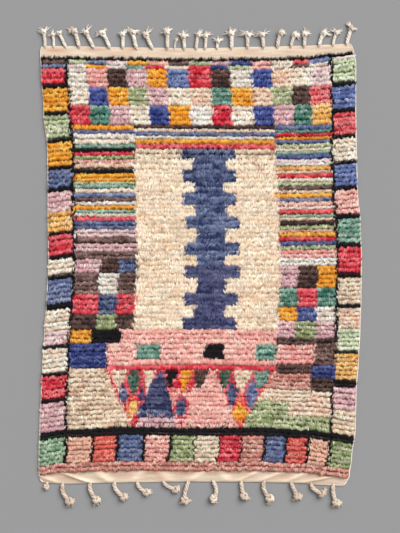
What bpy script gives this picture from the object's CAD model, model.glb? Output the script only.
"""A hand-knotted wool pile rug that lies flat on a plain floor, seen from straight above."""

import math

import bpy
import numpy as np
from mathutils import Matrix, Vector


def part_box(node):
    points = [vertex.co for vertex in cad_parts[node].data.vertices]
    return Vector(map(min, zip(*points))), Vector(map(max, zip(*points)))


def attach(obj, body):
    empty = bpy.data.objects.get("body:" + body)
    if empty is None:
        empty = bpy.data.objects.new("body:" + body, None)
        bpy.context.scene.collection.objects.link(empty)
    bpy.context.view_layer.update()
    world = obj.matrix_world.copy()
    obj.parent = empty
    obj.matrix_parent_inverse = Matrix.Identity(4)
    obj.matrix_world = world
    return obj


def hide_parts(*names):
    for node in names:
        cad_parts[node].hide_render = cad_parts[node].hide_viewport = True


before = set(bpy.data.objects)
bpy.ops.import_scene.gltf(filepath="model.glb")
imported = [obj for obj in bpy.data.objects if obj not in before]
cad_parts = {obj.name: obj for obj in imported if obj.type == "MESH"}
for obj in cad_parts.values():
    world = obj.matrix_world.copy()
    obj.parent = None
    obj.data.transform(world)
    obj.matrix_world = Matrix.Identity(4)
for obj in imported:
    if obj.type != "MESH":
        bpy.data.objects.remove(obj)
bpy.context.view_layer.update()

# Sizes in millimetres, as in the solids. "Down" is a distance from the head of the pile.
BODY_WIDTH = 1500.0
PILE_LENGTH = 1977.0
ROWS = 98
KNOTS = 188
HEAD_BAND = 48.0
FOOT_BAND = 57.0
HEAD_EDGE = -HEAD_BAND
FOOT_EDGE = PILE_LENGTH + FOOT_BAND
STRIP = 8.9
WEAVE_THICK = 4.0
ROW_PITCH = PILE_LENGTH / ROWS
SEED = 7

# How far each selvedge stands outside its straight line: down, left, right
EDGES = np.array([
    (HEAD_EDGE, 4, -34), (-30, 13, -24), (0, 14, -16), (60, 11, -6), (250, -1, -6), (450, -20, -4),
    (650, -22, 2), (800, -22, 15), (970, -25, 21), (1150, -16, 19), (1300, -5, 14), (1450, 3, 6),
    (1600, 11, -5), (1740, 17, -9), (1880, 21, -26), (1965, 21, -37), (2010, 15, -52), (FOOT_EDGE, 2, -66),
], float)

# How far a row bows towards the head, at shares of the way across
BOW_ACROSS = np.array([0, 0.08, 0.3, 0.5, 0.7, 0.85, 0.93, 1])
BOW_DOWN = np.array([HEAD_EDGE, 0, 480, 990, 1470, 1780, PILE_LENGTH, FOOT_EDGE])
BOW_RISE = np.array([
    (4, 3, -3, -7, 0, 5, 10, 16), (2, 1, -4, -6, -5, 4, 14, 25), (-8, 0, 2, 0, -2, 0, 6, 14),
    (-14, 0, 0, 0, 0, 2, 3, 4), (-12, -2, 2, 4, 0, -4, -3, -2), (-22, -6, 8, 2, 4, -8, -22, -38),
    (-21, -4, 4, 2, 2, -6, -22, -33), (-2, -6, 0, 4, 2, -3, -13, -17),
], float)

# Dyed yarns: main shade and the shade that streaks through it, as eight-bit screen colours
YARNS = {
    "cream": ((238, 223, 202), (223, 190, 158)),
    "milk": ((250, 236, 218), (238, 210, 186)),
    "straw": ((238, 218, 195), (218, 179, 148)),
    "ivory": ((242, 236, 226), (230, 210, 192)),
    "peach": ((246, 221, 199), (234, 182, 154)),
    "apricot": ((232, 174, 150), (242, 204, 180)),
    "black": ((16, 14, 17), (32, 28, 31)),
    "dark_brown": ((60, 42, 40), (122, 94, 86)),
    "mauve_brown": ((90, 66, 62), (158, 128, 120)),
    "crimson": ((206, 34, 56), (242, 130, 134)),
    "rose_red": ((214, 62, 72), (248, 158, 156)),
    "coral": ((222, 92, 84), (244, 156, 138)),
    "dusky_pink": ((204, 132, 118), (240, 202, 186)),
    "rose_pink": ((238, 150, 142), (250, 202, 192)),
    "pink": ((242, 164, 154), (252, 208, 194)),
    "pale_pink": ((240, 222, 218), (232, 188, 188)),
    "mauve_pink": ((208, 160, 166), (238, 206, 202)),
    "gold": ((241, 150, 30), (250, 187, 92)),
    "light_gold": ((238, 174, 90), (246, 212, 164)),
    "navy": ((44, 54, 116), (102, 112, 164)),
    "royal": ((54, 66, 124), (120, 128, 166)),
    "cobalt": ((50, 64, 136), (114, 126, 182)),
    "sky": ((92, 110, 164), (154, 164, 202)),
    "denim": ((88, 102, 144), (154, 160, 184)),
    "slate": ((40, 50, 88), (124, 134, 164)),
    "indigo": ((42, 47, 86), (104, 106, 136)),
    "bottle": ((44, 82, 68), (116, 138, 120)),
    "teal": ((58, 116, 100), (156, 182, 166)),
    "light_teal": ((94, 146, 128), (178, 198, 180)),
    "sea_green": ((136, 168, 136), (196, 208, 184)),
    "sage": ((140, 154, 102), (214, 212, 180)),
    "light_green": ((172, 182, 140), (220, 220, 192)),
    "pale_green": ((192, 204, 164), (234, 236, 210)),
}
NAMES = list(YARNS)
# Pieces of pile, each with its yarns
SHADES = {
    "pile_undyed": ("cream", "straw"),
    "pile_pale": ("milk", "ivory", "peach", "pale_pink", "apricot"),
    "pile_dark": ("black", "dark_brown", "mauve_brown"),
    "pile_red": ("crimson", "rose_red", "coral"),
    "pile_pink": ("dusky_pink", "rose_pink", "pink", "mauve_pink"),
    "pile_gold": ("gold", "light_gold"),
    "pile_blue": ("navy", "royal", "cobalt", "sky", "denim", "slate", "indigo"),
    "pile_green": ("bottle", "teal", "light_teal", "sea_green", "sage", "light_green", "pale_green"),
}

# Main lines of the pattern, in knots from the left and in rows from the head
LEFT_KNOT = 16
RIGHT_KNOT = 173
FIELD_KNOTS = (53, 139)
FIELD_ROWS = (21.9, 64.8)
PANEL_KNOTS = (38, 139)
PANEL_ROWS = (74.4, 88)
BLACK_ROWS = (88, 89.9)
FOOT_BLOCK_ROWS = (89.9, 96)
# How far the tips of a row reach over the row above, in millimetres: usual, in the field, panel and checks
COVER = 1.0
FIELD_COVER = 6.5
PANEL_COVER = 3.2
CHECK_COVER = 1.8

# Borders from the head down: yarn, rows
LEFT_BORDER = [
    ("black", 1), ("mauve_brown", 1), ("denim", 0.9), ("crimson", 3.6), ("black", 1.1), ("gold", 5.3),
    ("black", 1), ("light_green", 5.3), ("black", 1), ("gold", 5.5), ("black", 0.9), ("denim", 4.1),
    ("black", 1), ("mauve_pink", 4.8), ("light_gold", 4.6), ("black", 0.9), ("crimson", 4.6), ("black", 0.9),
    ("milk", 3.6), ("black", 1.2), ("denim", 5.7), ("black", 1.6), ("milk", 4.9), ("pale_pink", 3.4),
    ("black", 0.9), ("milk", 5.5), ("black", 0.9), ("crimson", 5.2), ("black", 0.9), ("mauve_pink", 6.7),
]
RIGHT_BORDER = [
    ("black", 0.8), ("pale_pink", 0.8), ("pale_green", 5.2), ("black", 1), ("sky", 5.1), ("black", 1),
    ("rose_red", 5.1), ("black", 0.9), ("milk", 5.2), ("black", 0.9), ("sky", 5), ("black", 1),
    ("pink", 5.5), ("black", 1.2), ("light_teal", 5.5), ("black", 1.2), ("crimson", 5.8), ("black", 1.3),
    ("cream", 6.2), ("black", 0.8), ("peach", 4.9), ("pale_green", 5), ("black", 0.8), ("light_gold", 5.9),
    ("black", 1.7), ("mauve_pink", 4.8), ("cream", 5.4),
]
# Check band near the head: where its columns start and end in knots, and its rows of checks
CHECK_KNOTS = (16, 27, 39, 51, 63, 75, 88, 101, 113, 126, 138, 150, 161, 173)
CHECK_ROWS = [
    (1.0, "light_green denim pale_pink gold apricot mauve_brown "
          "light_green mauve_pink royal pink milk rose_red sky"),
    (0.9, "pale_pink gold ivory light_teal crimson milk "
          "crimson royal light_green pink milk mauve_brown milk"),
    (4.4, "ivory rose_pink dark_brown mauve_pink gold sky "
          "crimson dark_brown ivory cobalt peach milk pale_pink"),
    (4.3, "milk cobalt gold sage mauve_pink milk "
          "peach teal gold peach sage dark_brown rose_red"),
    (4.7, "crimson teal mauve_pink milk cobalt gold "
          "ivory crimson milk cobalt mauve_pink teal light_gold"),
]
# Stripes: yarn, rows
LEFT_STRIPES = [
    ("gold", 1.2), ("denim", 0.8), ("ivory", 1.4), ("milk", 1.2), ("light_teal", 0.9), ("black", 0.9),
    ("crimson", 0.9), ("sage", 0.9), ("rose_pink", 0.8), ("peach", 1.3), ("black", 1.2), ("gold", 1.9),
    ("sage", 0.6), ("light_teal", 1), ("milk", 1), ("denim", 1.1), ("mauve_brown", 1), ("ivory", 0.9),
    ("gold", 1), ("light_teal", 0.8), ("milk", 0.8), ("crimson", 1.1), ("denim", 2), ("pale_pink", 1.7),
    ("mauve_brown", 1.6), ("mauve_pink", 1.9), ("mauve_brown", 1.9),
]
RIGHT_STRIPES = [
    ("denim", 1.1), ("teal", 0.8), ("crimson", 0.9), ("gold", 0.7), ("denim", 0.9), ("sage", 1),
    ("milk", 0.7), ("light_teal", 0.8), ("royal", 1.1), ("pale_pink", 0.9), ("ivory", 0.8),
    ("light_gold", 1.1), ("peach", 0.7), ("crimson", 1.1), ("milk", 0.9), ("light_green", 0.9),
    ("mauve_brown", 1), ("peach", 0.7), ("gold", 1.1), ("denim", 0.9), ("pink", 1.1), ("milk", 0.7),
    ("crimson", 1.2), ("sea_green", 0.8), ("peach", 0.7), ("dark_brown", 1.1), ("sage", 1),
    ("apricot", 0.7), ("gold", 1.1), ("crimson", 0.9), ("royal", 1.1), ("sage", 1), ("rose_pink", 1.9),
    ("ivory", 1.9),
]
HEADER = [
    ("dark_brown", 0.9), ("peach", 0.8), ("denim", 0.9), ("ivory", 0.7), ("gold", 1.2), ("crimson", 1.2),
]
# Checks beside the lower field: their columns in knots, and their rows of checks
LEFT_CHECK_KNOTS = (16, 31, 42, 53)
LEFT_CHECKS = [
    (3.2, "mauve_pink dark_brown slate"), (5.0, "mauve_brown ivory mauve_brown"),
    (4.7, "crimson slate crimson"), (3.7, "dark_brown sage dark_brown"),
]
RIGHT_CHECK_KNOTS = (139, 150, 162, 173)
RIGHT_CHECKS = [
    (5.2, "mauve_pink dark_brown gold"), (4.4, "teal crimson teal"),
    (3.5, "gold royal ivory"), (3.9, "mauve_pink sage mauve_pink"),
]
# Stepped column in the field: first row of a tooth, and the column's sides below it in knots
COLUMN_STEPS = [
    (21.6, 88.6, 109.3), (27, 89, 107), (32.4, 89, 107.6), (38, 89, 107),
    (44.2, 89, 107), (49.7, 89, 107), (56.2, 89, 107), (62, 89, 107),
]
COLUMN_TEETH = (82, 114.5)
TOOTH_ROWS = 2.9
INDIGO_FROM = 49.7
# Blocks under the field, painted in this order: yarn, first knot, last knot, first row, last row
LOWER_BLOCKS = [
    ("pink", 38, 139, 64.8, 88), ("straw", 16, 60, 73.7, 88), ("gold", 16, 28, 64.7, 67.8),
    ("black", 28, 46, 64.7, 67.9), ("navy", 16, 38, 67.8, 73.7), ("teal", 56, 70, 68.2, 71.8),
    ("black", 96, 108, 67.9, 71.8), ("teal", 127, 139, 68.2, 72), ("crimson", 38, 139, 73.3, 74.4),
    ("dark_brown", 139, 175, 66.5, 68.1), ("rose_pink", 139, 162, 68.1, 72.6),
    ("mauve_brown", 162, 175, 67.6, 73), ("dark_brown", 139, 161, 72.6, 74.9),
    ("navy", 161, 175, 73, 75.8), ("dusky_pink", 130, 161, 74.9, 78.7), ("dark_brown", 161, 175, 75.8, 79),
    ("peach", 122, 161, 78.7, 84.7), ("peach", 161, 175, 79, 84.7), ("sage", 122, 175, 84.7, 88),
    ("sage", 122, 148, 81.4, 84.7),
]
# Where the rows of knots under the field change their blocks: first and last knot, cover, rows
LOWER_STEPS = [
    ((16, 38), COVER, (64.7, 67.8, 73.7, 88)), ((38, 53), PANEL_COVER, (64.7, 67.9, 73.3, 74.4)),
    ((53, 139), PANEL_COVER, (64.8, 68.2, 71.8, 73.3, 74.4)),
    ((139, 161), COVER, (66.4, 68.1, 72.6, 74.9, 78.7, 81.4, 84.7, 88)),
    ((161, 173), COVER, (66.4, 67.6, 73, 75.8, 79, 84.7, 88)),
]
# Black lines between the borders, the inside and the foot: first knot, last knot, first row, last row
BLACK_LINES = [
    (14.2, 16, 1, 88), (173, 174.7, 1, 66.5), (173, 174.7, 78, 88), (0, KNOTS, 87.8, 89.9),
]
# Figures under the field, painted in this order. Tapers: yarn, first row, left and right knot there,
# last row, left and right knot there
TAPERS = [
    ("crimson", 74.3, 37.5, 99, 79.6, 44.5, 88), ("crimson", 79.6, 44.5, 66, 87.6, 54.5, 57.5),
    ("cream", 74.6, 40.3, 50.5, 79.2, 46.2, 47.4), ("cream", 74.4, 60.6, 67.6, 79.8, 62.4, 63.8),
    ("indigo", 74.9, 68.4, 72, 85.6, 57, 80.6), ("slate", 83.8, 59, 79.4, 85.7, 57, 80.6),
    ("pink", 79.6, 79.2, 100, 88, 82, 100), ("mauve_pink", 85.7, 58.5, 82, 87.8, 58.5, 82),
    ("black", 74.4, 73, 81, 78.8, 75.6, 78), ("gold", 74.4, 82.2, 89.2, 79.5, 84, 86.4),
    ("dark_brown", 74.4, 90.4, 100, 78.6, 92, 95), ("rose_pink", 79, 80, 83.5, 80.8, 80.5, 83),
    ("crimson", 74.5, 103.6, 139, 87.6, 118.2, 120.6), ("bottle", 74.6, 105, 113.2, 78.8, 108, 110.6),
    ("cream", 74.6, 113.8, 126, 79.6, 119, 120.4), ("teal", 74.7, 126.4, 137, 78.9, 128.4, 132.4),
]
# Lozenges: yarn, middle knot, middle row, half width in knots, half height in rows
LOZENGES = [
    ("bottle", 55.2, 76.4, 3.7, 4.2), ("slate", 49.4, 80.1, 2.7, 2.5), ("slate", 59.7, 80.2, 1.8, 2.1),
    ("light_gold", 54.8, 83.5, 3.6, 2.6), ("crimson", 83.9, 83.2, 4.8, 3.7),
    ("slate", 84.1, 83.2, 3.1, 2.7), ("slate", 114.4, 80, 3.1, 3.4), ("denim", 125.9, 80, 3.4, 3.8),
    ("coral", 119.4, 81, 2, 1.7), ("gold", 119.4, 84.5, 4.7, 2.6),
]
LOZENGES_FROM = 74.5
LOZENGE_FLARE = 1.25
# Blocks along the foot: yarn, knots
FOOT_BLOCKS = [
    ("sea_green", 15), ("black", 2), ("apricot", 14), ("black", 2), ("coral", 13), ("black", 2),
    ("denim", 14), ("black", 2), ("pink", 14), ("black", 2), ("sage", 13), ("black", 1), ("cream", 14),
    ("black", 1), ("crimson", 12), ("black", 1), ("dusky_pink", 13), ("black", 2), ("denim", 11),
    ("black", 2), ("coral", 11), ("black", 2), ("apricot", 11), ("black", 2), ("sage", 12),
]

# Fringe strands: root from the left straight line, how far its knot lies to the right of it and away from
# the rug, swing, width
HEAD_STRANDS = [
    (10, -7, 64, 2, 16), (50, -4, 51, 4, 13), (111, -34, 59, -2, 15), (173, -22, 66, 3, 19),
    (245, -39, 65, -4, 17), (319, -34, 62, 5, 18), (379, 0, 58, 4, 17), (448, -20, 67, -4, 19),
    (524, -32, 57, -3, 18), (591, 0, 68, 5, 19), (626, 8, 36, -2, 9), (673, -4, 50, 4, 17),
    (730, 10, 60, -4, 16), (771, 5, 53, 5, 15), (831, 3, 28, -2, 15), (898, 0, 61, 4, 19),
    (977, 0, 52, -3, 18), (1051, -6, 53, 4, 18), (1118, 14, 57, -5, 19), (1182, 16, 49, -3, 17),
    (1244, 4, 50, 4, 17), (1316, 20, 50, -4, 18), (1383, 16, 52, -5, 15), (1448, 22, 68, -3, 18),
]
FOOT_STRANDS = [
    (20, -4, 14, 0, 15), (97, 27, 80, -32, 21), (227, 27, 74, -28, 21), (342, 41, 64, -32, 21),
    (452, 40, 44, -30, 19), (572, 58, 33, -28, 19), (700, -24, 84, -16, 20), (804, 10, 76, 34, 20),
    (945, 14, 63, -6, 20), (1057, 23, 72, -28, 21), (1179, 34, 60, 0, 21), (1280, 48, 42, -30, 21),
    (1386, 12, 76, -14, 21),
]
# Folds of the flat-woven foot end: middle from the left straight line, slant over the band, half width,
# height
FOOT_FOLDS = [
    (40, 60, 26, 10), (180, 150, 20, 16), (310, 60, 30, 11), (470, -60, 28, 9), (610, 40, 34, 8),
    (760, -70, 30, 11), (900, 40, 30, 8), (1010, -110, 22, 12), (1120, -110, 24, 12), (1240, -90, 24, 11),
    (1350, -140, 20, 16),
]
# Faint brown stains on the flat-woven ends: middle from the left straight line, down, half width,
# half height, strength
BAND_STAINS = [
    (70, -28, 55, 11, 0.75), (265, -35, 60, 7, 0.6), (440, -36, 45, 7, 0.5), (640, -34, 50, 6, 0.35),
    (1010, -30, 60, 8, 0.4), (1190, -24, 45, 7, 0.35), (1380, -30, 40, 8, 0.3),
    (30, 1996, 60, 9, 0.3), (135, 2004, 60, 12, 0.4), (390, 1998, 70, 10, 0.4), (550, 1992, 80, 8, 0.6),
    (700, 1998, 60, 9, 0.35), (860, 1992, 90, 7, 0.45), (1010, 1996, 50, 8, 0.3), (1180, 2000, 70, 9, 0.4),
    (1300, 2004, 40, 8, 0.3), (1380, 2010, 50, 10, 0.35),
]

rng = np.random.default_rng(SEED)


def smooth_between(places, values, at):
    """Values that run smoothly between the rows of a table."""
    at = np.clip(np.asarray(at, float), places[0], places[-1])
    after = np.clip(np.searchsorted(places, at), 1, len(places) - 1)
    share = (at - places[after - 1]) / (places[after] - places[after - 1])
    share = share * share * (3 - 2 * share)
    return values[after - 1] + (values[after] - values[after - 1]) * share


def bow_at(share, down):
    """How far the rows bow towards the head at places on the rug."""
    rises = np.array([smooth_between(BOW_ACROSS, row, share) for row in BOW_RISE])
    down = np.clip(np.asarray(down, float), BOW_DOWN[0], BOW_DOWN[-1])
    after = np.clip(np.searchsorted(BOW_DOWN, down), 1, len(BOW_DOWN) - 1)
    part = (down - BOW_DOWN[after - 1]) / (BOW_DOWN[after] - BOW_DOWN[after - 1])
    part = part * part * (3 - 2 * part)
    column = np.arange(len(down))
    return rises[after - 1, column] * (1 - part) + rises[after, column] * part


def place(share, down):
    """Where a place on the rug lies, in millimetres, before the shift to the middle of the whole rug."""
    share, down = np.broadcast_arrays(np.asarray(share, float), np.asarray(down, float))
    flat_share, flat_down = share.ravel(), down.ravel()
    left = smooth_between(EDGES[:, 0], EDGES[:, 1], flat_down)
    right = smooth_between(EDGES[:, 0], EDGES[:, 2], flat_down)
    x = -BODY_WIDTH / 2 - left + flat_share * (BODY_WIDTH + left + right)
    y = PILE_LENGTH / 2 - flat_down + bow_at(np.clip(flat_share, 0, 1), flat_down)
    return x.reshape(share.shape), y.reshape(share.shape)


def linear(colour):
    """An eight-bit screen colour as linear light."""
    c = np.asarray(colour, float) / 255
    return np.where(c <= 0.04045, c / 12.92, ((c + 0.055) / 1.055) ** 2.4)


def ripple(count, spacing):
    """Smooth random numbers from -1 to 1 along a line, with a new one at each spacing."""
    stations = rng.uniform(-1, 1, int(count / spacing) + 3)
    return smooth_between(np.arange(len(stations)) * spacing, stations, np.arange(count))


def waves(count, shortest, longest):
    """Irregular waves from -1 to 1 along a line: four sines, each of its own length."""
    lengths = rng.uniform(shortest, longest, (4, 1))
    return np.sin(2 * math.pi * (np.arange(count) / lengths + rng.uniform(0, 1, (4, 1)))).sum(0) / 2.4


# The whole rug's middle lies over the origin, so places shift along its length by what the solids say.
edge_share = np.linspace(0, 1, 400)
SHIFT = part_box("rug")[1].y * 1000 - place(edge_share, HEAD_EDGE + STRIP)[1].max()


def new_mesh(name, points, faces, material, colours, uvs=None):
    """A joined mesh piece from arrays in millimetres, with a colour for each point, and its map if any."""
    mesh = bpy.data.meshes.new(name)
    mesh.vertices.add(len(points))
    shifted = (points + np.array([0, SHIFT, 0])) / 1000
    mesh.vertices.foreach_set("co", shifted.astype(np.float32).ravel())
    mesh.loops.add(faces.size)
    mesh.loops.foreach_set("vertex_index", faces.astype(np.int32).ravel())
    mesh.polygons.add(len(faces))
    starts = np.arange(0, faces.size, faces.shape[1], dtype=np.int32)
    mesh.polygons.foreach_set("loop_start", starts)
    mesh.polygons.foreach_set("use_smooth", np.full(len(faces), True))
    if uvs is not None:
        layer = mesh.uv_layers.new(name="OFBake")
        layer.data.foreach_set("uv", uvs.astype(np.float32).ravel())
    mesh.update(calc_edges=True)
    mesh.validate()
    carried = mesh.color_attributes.new("wool", "FLOAT_COLOR", "POINT")
    rgba = np.ones((len(points), 4), np.float32)
    rgba[:, :3] = colours
    carried.data.foreach_set("color", rgba.ravel())
    piece = bpy.data.objects.new(name, mesh)
    bpy.context.collection.objects.link(piece)
    piece.data.materials.append(material)
    return piece


# Materials
def wool_material(name, fibre_scale, fibre_stretch, bump):
    """Matt wool in the colour that each point carries, with fine fibres."""
    material = bpy.data.materials.new(name)
    material.use_nodes = True
    nodes, links = material.node_tree.nodes, material.node_tree.links
    shader = nodes["Principled BSDF"]
    shader.inputs["Roughness"].default_value = 0.95
    shader.inputs["Specular IOR Level"].default_value = 0.1
    shader.inputs["Sheen Weight"].default_value = 0.06
    shader.inputs["Sheen Roughness"].default_value = 0.6
    carried = nodes.new("ShaderNodeAttribute")
    carried.attribute_name = "wool"
    where = nodes.new("ShaderNodeTexCoord")
    stretch = nodes.new("ShaderNodeMapping")
    stretch.inputs["Scale"].default_value = fibre_stretch
    links.new(where.outputs["Object"], stretch.inputs["Vector"])
    fibres = nodes.new("ShaderNodeTexNoise")
    fibres.inputs["Scale"].default_value = fibre_scale
    fibres.inputs["Detail"].default_value = 3
    links.new(stretch.outputs["Vector"], fibres.inputs["Vector"])
    depth = nodes.new("ShaderNodeMapRange")
    depth.inputs["From Min"].default_value = 0.25
    depth.inputs["From Max"].default_value = 0.75
    depth.inputs["To Min"].default_value = 0.78
    depth.inputs["To Max"].default_value = 1.12
    links.new(fibres.outputs["Fac"], depth.inputs["Value"])
    tint = nodes.new("ShaderNodeVectorMath")
    tint.operation = "SCALE"
    links.new(carried.outputs["Color"], tint.inputs[0])
    links.new(depth.outputs["Result"], tint.inputs["Scale"])
    links.new(tint.outputs["Vector"], shader.inputs["Base Color"])
    relief = nodes.new("ShaderNodeBump")
    relief.inputs["Strength"].default_value = bump
    relief.inputs["Distance"].default_value = 0.001
    links.new(fibres.outputs["Fac"], relief.inputs["Height"])
    links.new(relief.outputs["Normal"], shader.inputs["Normal"])
    return material


pile_wool = wool_material("pile_wool", 260, (2.2, 0.6, 0.6), 0.5)
woven_wool = wool_material("woven_wool", 320, (1.0, 2.4, 1.0), 0.6)
cord_wool = wool_material("cord_wool", 500, (1.0, 1.0, 1.0), 0.5)

# The chart: a yarn for each quarter of a knot, at ten places to a row
FINE = 10
QUARTER = 4
chart = np.zeros((ROWS * FINE, KNOTS * QUARTER), int)
# Rows of knots: first knot, last knot, head and foot side in rows, blur of the colours, cover
ridges = []
# Usual height of a row of knots where a block has several
RIDGE = 1.07
# How far a row's colours blur into the rows beside it: usual, and in the panel of figures
BLUR = 0.1
PANEL_BLUR = 0.45


def paint(yarn, knots, rows):
    first, last = (int(round(r * FINE)) for r in rows)
    left, right = (int(round(k * QUARTER)) for k in knots)
    chart[first:last, left:right] = NAMES.index(yarn)


def add_ridges(knots, rows, blur=BLUR, cover=COVER):
    """Rows of knots over a block."""
    lines = np.linspace(rows[0], rows[1], max(1, round((rows[1] - rows[0]) / RIDGE)) + 1)
    ridges.extend((knots[0], knots[1], head, foot, blur, cover) for head, foot in zip(lines, lines[1:]))


def add_steps(knots, lines, cover=COVER):
    """Rows of knots over blocks that meet at the given rows."""
    for rows in zip(lines, lines[1:]):
        add_ridges(knots, rows, cover=cover)


def stack(knots, start, blocks):
    """Blocks or stripes one below the other, with their rows of knots. Returns the row they end at."""
    for yarn, rows in blocks:
        paint(yarn, knots, (start, start + rows))
        add_ridges(knots, (start, start + rows))
        start += rows
    return start


def checks(columns, start, rows_of_checks):
    """Rows of checks one below the other. Returns the row they end at."""
    for rows, names in rows_of_checks:
        for yarn, first, last in zip(names.split(), columns, columns[1:]):
            paint(yarn, (first, last), (start, start + rows))
        add_ridges((columns[0], columns[-1]), (start, start + rows), cover=CHECK_COVER)
        start += rows
    return start


def paint_span(yarn, fine_row, left, right):
    if 0 <= fine_row < ROWS * FINE and right > left:
        chart[fine_row, int(round(left * QUARTER)):int(round(right * QUARTER))] = NAMES.index(yarn)


def taper(yarn, row, left, right, last_row, last_left, last_right):
    for fine_row in range(int(row * FINE), int(last_row * FINE)):
        part = (fine_row / FINE - row) / (last_row - row)
        paint_span(yarn, fine_row, left + part * (last_left - left), right + part * (last_right - right))


def lozenge(yarn, knot, row, half_width, half_height):
    first_row = max(row - half_height, LOZENGES_FROM)
    for fine_row in range(int(first_row * FINE), int((row + half_height) * FINE)):
        reach = half_width * min(1.0, LOZENGE_FLARE * (1 - abs(fine_row / FINE - row) / half_height))
        paint_span(yarn, fine_row, knot - reach, knot + reach)


def chart_field():
    """The plain field with its stepped column."""
    paint("cream", FIELD_KNOTS, FIELD_ROWS)
    steps = [FIELD_ROWS[0]]
    for (start, left, right), after in zip(COLUMN_STEPS, [*COLUMN_STEPS[1:], FIELD_ROWS[1:]]):
        yarn = "slate" if start < INDIGO_FROM else "indigo"
        paint(yarn, COLUMN_TEETH, (max(start, FIELD_ROWS[0]), start + TOOTH_ROWS))
        paint(yarn, (left, right), (start + TOOTH_ROWS, after[0]))
        steps += [start, start + TOOTH_ROWS]
    inside = [step for step in steps if FIELD_ROWS[0] <= step < FIELD_ROWS[1] - RIDGE / 2]
    lines = [*inside, FIELD_ROWS[1]]
    add_steps(FIELD_KNOTS, lines[:2])
    add_steps(FIELD_KNOTS, lines[1:], FIELD_COVER)


def chart_panel():
    """The blocks and figures under the field."""
    for yarn, first, last, row, last_row in LOWER_BLOCKS:
        paint(yarn, (first, last), (row, last_row))
    for row in TAPERS:
        taper(*row)
    for row in LOZENGES:
        lozenge(*row)
    for knots, cover, rows in LOWER_STEPS:
        add_steps(knots, rows, cover)
    add_ridges(PANEL_KNOTS, PANEL_ROWS, PANEL_BLUR, PANEL_COVER)


def chart_foot():
    """The black rows, the row of blocks and the last pink rows."""
    add_ridges((0, KNOTS), BLACK_ROWS)
    knot = 0
    for yarn, knots in FOOT_BLOCKS:
        paint(yarn, (knot, knot + knots), FOOT_BLOCK_ROWS)
        knot += knots
    add_ridges((0, KNOTS), FOOT_BLOCK_ROWS)
    last_rows = (FOOT_BLOCK_ROWS[1], ROWS)
    paint("dusky_pink", (0, KNOTS), last_rows)
    add_ridges((0, KNOTS), last_rows)


def make_chart():
    first_row = (0, 1)
    stack((0, LEFT_KNOT), 0, LEFT_BORDER)
    stack((RIGHT_KNOT, KNOTS), 0, RIGHT_BORDER)
    paint("black", (LEFT_KNOT, RIGHT_KNOT), first_row)
    add_ridges((LEFT_KNOT, RIGHT_KNOT), first_row)
    stripes_start = checks(CHECK_KNOTS, first_row[1], CHECK_ROWS)
    left_end = stack((LEFT_KNOT, FIELD_KNOTS[0]), stripes_start, LEFT_STRIPES)
    checks(LEFT_CHECK_KNOTS, left_end, LEFT_CHECKS)
    stack(FIELD_KNOTS, stripes_start, HEADER)
    right_end = stack((FIELD_KNOTS[1], RIGHT_KNOT), stripes_start, RIGHT_STRIPES)
    chart_field()
    checks(RIGHT_CHECK_KNOTS, right_end, RIGHT_CHECKS)
    chart_panel()
    for first, last, row, last_row in BLACK_LINES:
        paint("black", (first, last), (row, last_row))
    chart_foot()


make_chart()

MAIN = np.array([linear(YARNS[name][0]) for name in NAMES])
STREAK = np.array([linear(YARNS[name][1]) for name in NAMES])
# 1 where a yarn's streaks are paler than it, -1 where they are darker
PALER = np.sign(STREAK.sum(1) - MAIN.sum(1))

# Pile: nine locks of wool to a knot, in three layers, rooted in the ground and bent over towards the head
LOCKS = 3
LOCK_ROOT = 4.0
LOCK_TOP = 20.0
LOCK_LEAN = 20.0
LOCK_HALF = (1.2, 2.2)
PILE_INSET = 5.0
# How far the pile sinks at the selvedges, and over how many knots
EDGE_DROP = 5.0
EDGE_KNOTS = 1.2
# Most locks in a piece
PIECE_LOCKS = 45000
# A lock from root to tip: share of its lean, of its height and of its width, tone, depth of colour. The
# root has its row's own tone.
LOCK_FORM = ((0, 0, 1, None, 1.6), (0.38, 0.86, 1, 1.0, 1.1), (1, 1, 0.5, 1.16, 1.0))
ROOT_TONE = 0.66
TONE = 0.91
SPECKLE = 0.11
# Layers of a row: where the tips end in the row, height above the usual, tone, share of the paler shade
LAYERS = ((0.0, -0.6, 1.14, 0.06), (0.31, 0.6, 1.06, -0.02), (0.61, -1.2, 0.8, -0.36))
# Changes along a row: size, spacing in knots
WANDER_RUNS = ((0.14, 9),)
SHADE_RUNS = ((0.45, 4), (0.4, 1.7))
TONE_RUNS = ((0.18, 5), (0.24, 2))
# Waves along a row: size in rows, shortest and longest in knots, for the whole row and for each layer
ROW_WAVES = (0.16, 3, 7)
LAYER_WAVES = (0.13, 1.6, 4)


def runs(table, count, long=1.0):
    """Smooth changes along a row of locks."""
    return sum(size * ripple(count, spacing * long * LOCKS) for size, spacing in table)


def row_waves(table, count):
    size, shortest, longest = table
    return size * waves(count, shortest * LOCKS, longest * LOCKS)


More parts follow.
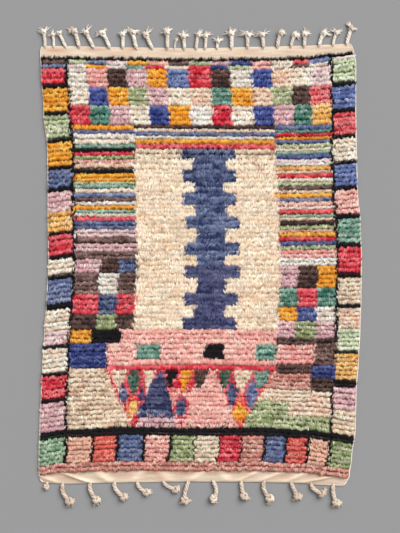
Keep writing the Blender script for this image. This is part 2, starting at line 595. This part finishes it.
def row_locks(first, last, head, foot, blur, cover):
    """The locks of a row: place across, tip, lean, lean aside, heights, yarn, tone of the root, colour."""
    count = (last - first) * LOCKS
    high = min(max(foot - head, 0.75), 1.15)
    shared = runs(WANDER_RUNS, count) + row_waves(ROW_WAVES, count)
    # Wool that covers more of the row above lies more aside, is less rough and changes in longer runs.
    lies_aside = 9 + cover
    rough = 1.1 - 0.08 * cover
    long = 0.8 + 0.2 * cover
    row_level = 0.4 + rng.uniform(-0.3, 0.3) / (0.7 + 0.3 * cover)
    row_shift = rng.uniform(-0.7, 0.7) * (1 - 1.5 * blur)
    layers = []
    for share, above, layer_tone, pale in LAYERS:
        across = first + (np.arange(count) + rng.uniform(0, 1, count)) / LOCKS
        wave = (shared + row_waves(LAYER_WAVES, count)) * min(1.0, foot - head)
        look_knot = across + row_shift + 0.5 * ripple(count, 2 * LOCKS) + rng.normal(0, 0.2, count)
        look_knot = np.clip(look_knot, 0, KNOTS - 0.01)
        look_row = (head + foot) / 2 + (foot - head) * rng.uniform(-blur, blur, count)
        look_row = np.clip(look_row, 0, ROWS - 0.01)
        yarn = chart[(look_row * FINE).astype(int), (look_knot * QUARTER).astype(int)]
        level = row_level + runs(SHADE_RUNS, count, long)
        mix = np.clip(level + pale * PALER[yarn] + rng.normal(0, 0.1, count), 0, 1)[:, None]
        streaks = runs(TONE_RUNS, count, long)
        tone = TONE * layer_tone + 1.15 * rough * streaks + rng.normal(0, 0.05, count)
        colour = (MAIN[yarn] * (1 - mix) + STREAK[yarn] * mix) * tone[:, None]
        tip = (head + (foot - head) * share + wave) * ROW_PITCH - cover + rng.normal(0, 0.9, count)
        lean = LOCK_LEAN * high * (1.02 - share) * rng.uniform(0.85, 1.15, count) + cover
        aside = lies_aside * ripple(count, 5 * LOCKS) + rng.normal(0, 1.5, count)
        top = LOCK_TOP + above + rough * (1.8 * ripple(count, 3 * LOCKS) + rng.normal(0, 0.7, count))
        low = np.full(count, LOCK_ROOT + 1.4 * (cover - COVER))
        root_tone = np.full(count, min(1.1, ROOT_TONE + 0.08 * (cover - COVER)))
        layers.append(np.column_stack([across, tip, lean, aside, low, top, yarn, root_tone, colour]))
    return np.concatenate(layers)


def pile_locks():
    """Each station's middle, width and colour for every lock, and each lock's yarn."""
    locks = np.concatenate([row_locks(*row) for row in ridges])
    across, tip, lean, aside, low, top, yarn, root_tone = locks[:, :8].T
    top = top - EDGE_DROP * np.exp(-np.minimum(across, KNOTS - across) / EDGE_KNOTS)
    inset = PILE_INSET / BODY_WIDTH
    x, y = place(inset + (1 - 2 * inset) * across / KNOTS, tip + lean)
    stations = []
    for along, rise, width, tone, depth in LOCK_FORM:
        middle = np.column_stack([x + along * aside, y + along * lean, low + rise * (top - low)])
        speckle = 1 + rng.normal(0, SPECKLE, (len(x), 1))
        station_tone = root_tone[:, None] if tone is None else tone
        colour = np.clip(locks[:, 8:], 0, 1) ** depth * station_tone * speckle
        stations.append((middle, width, np.clip(colour, 0, 1)))
    return stations, yarn.astype(int)


def lock_arrays(stations, own):
    """Six points and four triangles for each lock: a narrow strip, rolled a little to one side."""
    count = len(own)
    half = rng.uniform(*LOCK_HALF, count)[:, None]
    roll = rng.normal(0, 0.2, count)
    side = half * np.column_stack([np.cos(roll), np.zeros(count), np.sin(roll)])
    points = np.empty((count, 2 * len(stations), 3))
    colours = np.empty_like(points)
    for number, (middle, width, colour) in enumerate(stations):
        points[:, 2 * number] = middle[own] - width * side
        points[:, 2 * number + 1] = middle[own] + width * side
        colours[:, 2 * number] = colours[:, 2 * number + 1] = colour[own]
    faces = []
    for number in range(len(stations) - 1):
        a = 2 * number
        faces += [(a, a + 1, a + 3), (a, a + 3, a + 2)]
    triangles = np.array(faces)[None] + 2 * len(stations) * np.arange(count)[:, None, None]
    return points.reshape(-1, 3), triangles.reshape(-1, 3), colours.reshape(-1, 3)


def lock_uvs(count):
    """Each lock has its own cell of the map."""
    cells = math.ceil(math.sqrt(count))
    heights = np.linspace(0.04, 0.96, len(LOCK_FORM))
    corners = []
    for low, high in zip(heights, heights[1:]):
        corners += [(0.04, low), (0.96, low), (0.96, high), (0.04, low), (0.96, high), (0.04, high)]
    cell = np.arange(count)
    base = np.column_stack([cell % cells, cell // cells])
    return ((base[:, None] + np.array(corners)[None]) / cells).reshape(-1, 2)


def make_pile():
    stations, yarn = pile_locks()
    pieces = []
    for name, yarns in SHADES.items():
        own = np.flatnonzero(np.isin(yarn, [NAMES.index(y) for y in yarns]))
        batches = np.array_split(own, math.ceil(len(own) / PIECE_LOCKS))
        for number, batch in enumerate(batches, 1):
            points, triangles, colours = lock_arrays(stations, batch)
            piece_name = name if len(batches) == 1 else f"{name}_{number}"
            uvs = lock_uvs(len(batch))
            pieces.append(new_mesh(piece_name, points, triangles, pile_wool, colours, uvs))
    return pieces


pile = make_pile()

# Ground: the woven sheet that carries the pile, with its flat-woven ends
BAND_LINES = 12
GROUND_COLUMNS = 150
GROUND_TOP = 5.0
GROUND_UNDERSIDE = 0.3
# Share of the width over which the ground thins towards a selvedge
GROUND_RIM = 0.012
BAND_WOOL = linear((206, 192, 172))
BAND_STREAK = linear((188, 156, 132))
BAND_STAIN = linear((178, 126, 104))


def ground_downs():
    head = np.linspace(HEAD_EDGE, 0, BAND_LINES)
    body = np.linspace(0, PILE_LENGTH, ROWS + 1)
    foot = np.linspace(PILE_LENGTH, FOOT_EDGE, BAND_LINES)
    return np.concatenate([head, body[1:], foot[1:]])


def puckers(share, down):
    """Slanting folds in the flat-woven foot end, and a gentle wave in the head end."""
    x = share * BODY_WIDTH
    into_foot = np.clip((down - PILE_LENGTH) / FOOT_BAND, 0, 1)
    into_head = np.clip(-down / HEAD_BAND, 0, 1)
    foot = np.zeros_like(x)
    for middle, slant, half_width, height in FOOT_FOLDS:
        away = (x - middle - slant * (into_foot - 0.5)) / half_width
        foot = foot + height * np.exp(-away * away)
    head = 1.6 * (0.5 + 0.5 * np.sin(x / 55 + 0.9 * np.sin(x / 210)))
    return foot * np.sin(math.pi * into_foot) ** 0.6 + head * np.sin(math.pi * into_head)


def band_colours(share, down):
    """The flat-woven ends: streaked undyed wool, shaded in the folds and under the pile, with stains."""
    streak = np.array([ripple(share.shape[1], 6) for _ in share])
    streak = np.clip(0.35 + 0.35 * streak, 0, 1)[..., None]
    under_pile = 0.2 * np.exp(-np.maximum(down - PILE_LENGTH, 0) / 12)
    lit = 1 + 0.035 * np.clip(puckers(share, down) - 4, -4, 6) - under_pile
    band = (BAND_WOOL * (1 - streak) + BAND_STREAK * streak) * np.where(down > 0, lit, 1)[..., None]
    for middle, stain_down, half_width, half_height, strength in BAND_STAINS:
        away_across = (share * BODY_WIDTH - middle) / half_width
        away_down = (down - stain_down) / half_height
        stain = strength * np.exp(-(away_across ** 2 + away_down ** 2))[..., None]
        band = band * (1 - stain) + BAND_STAIN * stain
    return band


def sheet_quads(lines, columns):
    """Upper face, lower face and rim of a sheet whose upper points come first, line by line."""
    number = np.arange(lines * columns).reshape(lines, columns)
    a, b = number[:-1, :-1].ravel(), number[:-1, 1:].ravel()
    d, c = number[1:, :-1].ravel(), number[1:, 1:].ravel()
    under = lines * columns
    rim = np.concatenate([number[0], number[1:, -1], number[-1, -2::-1], number[-2:0:-1, 0]])
    after = np.roll(rim, -1)
    return np.concatenate([
        np.column_stack([a, d, c, b]), np.column_stack([a, b, c, d]) + under,
        np.column_stack([rim, after, after + under, rim + under]),
    ])


def make_ground():
    share, down = np.meshgrid(np.linspace(0, 1, GROUND_COLUMNS + 1), ground_downs())
    x, y = place(share, down)
    in_band = (down <= 0) | (down >= PILE_LENGTH)
    full = np.clip(np.minimum(share, 1 - share) / GROUND_RIM, 0, 1)
    pile_base = WEAVE_THICK + (GROUND_TOP - WEAVE_THICK) * full
    top = np.where(in_band, WEAVE_THICK + puckers(share, down), pile_base)
    underside = np.full_like(top, GROUND_UNDERSIDE)
    points = np.concatenate([np.stack([x, y, z], -1).reshape(-1, 3) for z in (top, underside)])
    fine_row = np.clip((down / ROW_PITCH * FINE).astype(int), 0, ROWS * FINE - 1)
    quarter = np.clip((share * KNOTS * QUARTER).astype(int), 0, KNOTS * QUARTER - 1)
    dyed = MAIN[chart[fine_row, quarter]]
    band = band_colours(share, down)
    above = np.where(in_band[..., None], band, 0.75 * dyed)
    below = np.where(in_band[..., None], band, 0.55 * dyed + 0.25 * BAND_WOOL)
    colours = np.concatenate([above.reshape(-1, 3), below.reshape(-1, 3)])
    return new_mesh("ground", points, sheet_quads(*share.shape), woven_wool, colours)


ground = make_ground()


# Tubes that follow a path, for selvedges and fringe cords
def tube(path, radii, sides):
    """Points and triangles of a closed round tube along a path, with a radius for each place on it."""
    path = np.asarray(path, float)
    along = np.gradient(path, axis=0)
    along /= np.linalg.norm(along, axis=1)[:, None]
    up = np.array([0.0, 0.0, 1.0])
    side = np.cross(along, up)
    lengths = np.linalg.norm(side, axis=1)[:, None]
    side = np.where(lengths > 1e-6, side / np.maximum(lengths, 1e-6), np.array([1.0, 0, 0]))
    rise = np.cross(side, along)
    angle = np.linspace(0, 2 * math.pi, sides, endpoint=False)
    radii = np.broadcast_to(np.asarray(radii, float), len(path))
    ring = np.cos(angle)[None, :, None] * side[:, None] + np.sin(angle)[None, :, None] * rise[:, None]
    points = (path[:, None] + radii[:, None, None] * ring).reshape(-1, 3)
    i, k = np.meshgrid(np.arange(len(path) - 1), np.arange(sides), indexing="ij")
    a, b = (i * sides + k).ravel(), (i * sides + (k + 1) % sides).ravel()
    c, d = b + sides, a + sides
    ends = []
    for start, turn in ((0, -1), ((len(path) - 1) * sides, 1)):
        for corner in range(1, sides - 1):
            ends.append((start, start + corner, start + corner + 1)[::turn])
    triangles = np.concatenate([np.column_stack([a, b, c]), np.column_stack([a, c, d]), np.array(ends)])
    return points, triangles


def joined(parts):
    """Several (points, triangles, colours) as one."""
    points, triangles, colours, count = [], [], [], 0
    for part_points, part_triangles, part_colours in parts:
        points.append(part_points)
        triangles.append(part_triangles + count)
        colours.append(part_colours * rng.uniform(0.72, 1.08, (len(part_points), 1)))
        count += len(part_points)
    return np.concatenate(points), np.concatenate(triangles), np.concatenate(colours)


# Undyed warp wool: main shade and the shade that some plies have
HEAD_WARP = linear((230, 222, 210)), linear((194, 174, 154))
FOOT_WARP = linear((208, 194, 178)), linear((172, 144, 122))


# Sides of a round cord or ply
CORD_SIDES = 7
SELVEDGE_WRAPS = 210
SELVEDGE_RADIUS = 3.0
SELVEDGE_HEIGHT = 3.8
SELVEDGE_END = 4.0


def make_selvedge(name, share, aside):
    """The overcast cord along one side, moved aside from the edge of the ground."""
    steps = 4
    downs = np.linspace(HEAD_EDGE + SELVEDGE_END, FOOT_EDGE - SELVEDGE_END, SELVEDGE_WRAPS * steps)
    x, y = place(np.full(len(downs), share), downs)
    path = np.column_stack([x + aside, y, np.full(len(downs), SELVEDGE_HEIGHT)])
    twist = np.sin(np.arange(len(downs)) * 2 * math.pi / steps)
    radii = SELVEDGE_RADIUS + 0.5 * twist + 0.3 * ripple(len(downs), 30)
    points, triangles = tube(path, radii, CORD_SIDES)
    tone = rng.uniform(0, 1, (len(downs), 1))
    colours = np.repeat(HEAD_WARP[0] * (1 - tone) + HEAD_WARP[1] * tone, CORD_SIDES, axis=0)
    return new_mesh(name, points, triangles, cord_wool, colours)


selvedges = [make_selvedge("selvedge_left", 0.0, 1.0), make_selvedge("selvedge_right", 1.0, -2.0)]


# Fringe strands, whose roots reach a little way into the band
ROOT_DEPTH = 12.0


def bezier(start, bend, end, count):
    t = np.linspace(0, 1, count)[:, None]
    return (1 - t) ** 2 * start + 2 * t * (1 - t) * bend + t * t * end


def warp_shade(warp, darkest):
    tone = rng.uniform(0, darkest)
    return warp[0] * (1 - tone) + warp[1] * tone


def cord_parts(way, across, width, warp):
    """Three plies twisted about a way over the floor."""
    run = np.concatenate([[0], np.cumsum(np.linalg.norm(np.diff(way, axis=0), axis=1))])
    turn = rng.uniform(0, 2 * math.pi)
    full = np.clip(0.3 + run / (1.3 * width), 0, 1)
    out = 0.25 * width * full
    thick = 0.27 * width * full * (1 + 0.08 * ripple(len(way), 5))
    lift = 0.52 * width * full + 2.5 * (1 - full)
    parts = []
    for ply in range(3):
        angle = turn + 2 * math.pi * ply / 3 + run * 2 * math.pi / (2.4 * width)
        sideways = across * (out * np.cos(angle))[:, None]
        path = np.column_stack([way + sideways, lift + 0.9 * out * np.sin(angle)])
        parts.append((*tube(path, thick, CORD_SIDES), warp_shade(warp, 0.8)))
    return parts


def knot_part(centre, heading, side, width, loop, warp):
    """An overhand knot as two turns of cord."""
    turns = np.linspace(0, 4 * math.pi, 44)
    tilt = rng.uniform(0.2, 0.45)
    forward = np.linspace(-0.4, 0.4, len(turns)) + tilt * np.cos(turns)
    sideways = side * (loop * width * np.sin(turns))[:, None]
    level_path = centre + sideways + heading * (forward * width)[:, None]
    path = np.column_stack([level_path, width * (0.72 + 0.36 * np.cos(turns))])
    radii = 0.35 * width * (1 + 0.1 * ripple(len(turns), 4))
    return (*tube(path, radii, 8), warp_shade(warp, 0.8))


def tuft_parts(centre, heading, side, width, tuft, warp):
    """The frayed end: locks of six hairs that fan out from the knot."""
    _, locks, spread, reach_out = tuft
    s = np.linspace(0, 1, 6)
    parts = []
    for way_out in rng.uniform(-spread, spread, locks):
        longest = rng.uniform(0.7, reach_out) * width
        for angle in way_out + rng.normal(0, 0.28, 6):
            length = longest * rng.uniform(0.6, 1.0)
            ahead = heading * math.cos(angle) + side * math.sin(angle)
            start = centre + heading * 0.3 * width + side * 0.5 * width * math.sin(angle)
            curl = rng.uniform(-0.3, 0.3) * length * s * s
            height = 0.6 * width * (1 - s) ** 1.4 + 0.14 * width + rng.uniform(0, 0.35) * width * s
            level_path = start + ahead * (length * s)[:, None] + side * curl[:, None]
            path = np.column_stack([level_path, height])
            parts.append((*tube(path, 0.14 * width * (1 - 0.7 * s ** 2), 5), warp_shade(warp, 0.7)))
    return parts


def strand_parts(root, row, outward, tuft, warp):
    """One strand: a twisted cord, an overhand knot and a frayed end."""
    _, aside, reach, swing, width = row
    knot = root + np.array([aside, outward * reach])
    bend = root + np.array([aside / 2 + swing, outward * reach / 2])
    way = bezier(root - np.array([0, outward * ROOT_DEPTH]), bend, knot, 40)
    along = np.gradient(way, axis=0)
    along /= np.linalg.norm(along, axis=1)[:, None]
    across = np.column_stack([along[:, 1], -along[:, 0]])
    heading, side = along[-1], across[-1]
    centre = knot + heading * 0.1 * width
    return [
        *cord_parts(way, across, width, warp),
        knot_part(centre, heading, side, width, tuft[0], warp),
        *tuft_parts(centre, heading, side, width, tuft, warp),
    ]


def make_fringe(name, rows, down, outward, tuft, warp):
    """All the strands along one end of the rug."""
    line_x, line_y = place(edge_share, down)
    parts = []
    for row in rows:
        x = row[0] - BODY_WIDTH / 2
        root = np.array([x, np.interp(x, line_x, line_y)])
        parts += strand_parts(root, row, outward, tuft, warp)
    points, triangles, colours = joined(parts)
    return new_mesh(name, points, triangles, cord_wool, colours)


# A knot and tuft: knot's loop in strand widths, locks, widest angle off the strand's line, longest lock
# in strand widths
HEAD_TUFT = (0.45, 4, 1.8, 2.1)
FOOT_TUFT = (0.62, 4, 1.5, 1.5)
fringes = [
    make_fringe("fringe_head_cords", HEAD_STRANDS, HEAD_EDGE, 1, HEAD_TUFT, HEAD_WARP),
    make_fringe("fringe_foot_cords", FOOT_STRANDS, FOOT_EDGE, -1, FOOT_TUFT, FOOT_WARP),
]

# Which solids the pieces stand for
for piece in (ground, *pile, *selvedges, *fringes):
    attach(piece, "root")
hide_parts("rug")
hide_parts("fringe_head")
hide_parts("fringe_foot")

# Floor, light and camera, with the camera's height and the view's longer side on the floor in metres
CAMERA_HEIGHT = 6.0
VIEW_LENGTH = 2.548
VIEW_MIDDLE = (-0.0012, -0.0015)
SENSOR = 36
floor_material = bpy.data.materials.new("pale_floor")
floor_material.use_nodes = True
floor_shader = floor_material.node_tree.nodes["Principled BSDF"]
floor_shader.inputs["Base Color"].default_value = (*linear((122, 122, 123)), 1)
floor_shader.inputs["Roughness"].default_value = 0.85
bpy.ops.mesh.primitive_plane_add(size=30, location=(0, 0, 0))
floor = bpy.context.object
floor.name = "floor"
floor.data.materials.append(floor_material)

world = bpy.data.worlds.new("soft_room")
bpy.context.scene.world = world
world.use_nodes = True
world.node_tree.nodes["Background"].inputs["Color"].default_value = (1.0, 1.0, 1.0, 1)
world.node_tree.nodes["Background"].inputs["Strength"].default_value = 0.58

key = bpy.data.lights.new("key_light", "SUN")
key.energy = 4.7
key.angle = 0.8
lamp = bpy.data.objects.new("key_light", key)
lamp.location = (3.0, 3.2, 4.2)
lamp.rotation_euler = lamp.location.to_track_quat("Z", "Y").to_euler()
bpy.context.collection.objects.link(lamp)

camera_data = bpy.data.cameras.new("camera")
camera_data.sensor_width = SENSOR
camera_data.lens = SENSOR * CAMERA_HEIGHT / VIEW_LENGTH
camera = bpy.data.objects.new("camera", camera_data)
camera.location = (*VIEW_MIDDLE, CAMERA_HEIGHT)
bpy.context.collection.objects.link(camera)
bpy.context.scene.camera = camera
bpy.context.scene.view_settings.view_transform = "Standard"
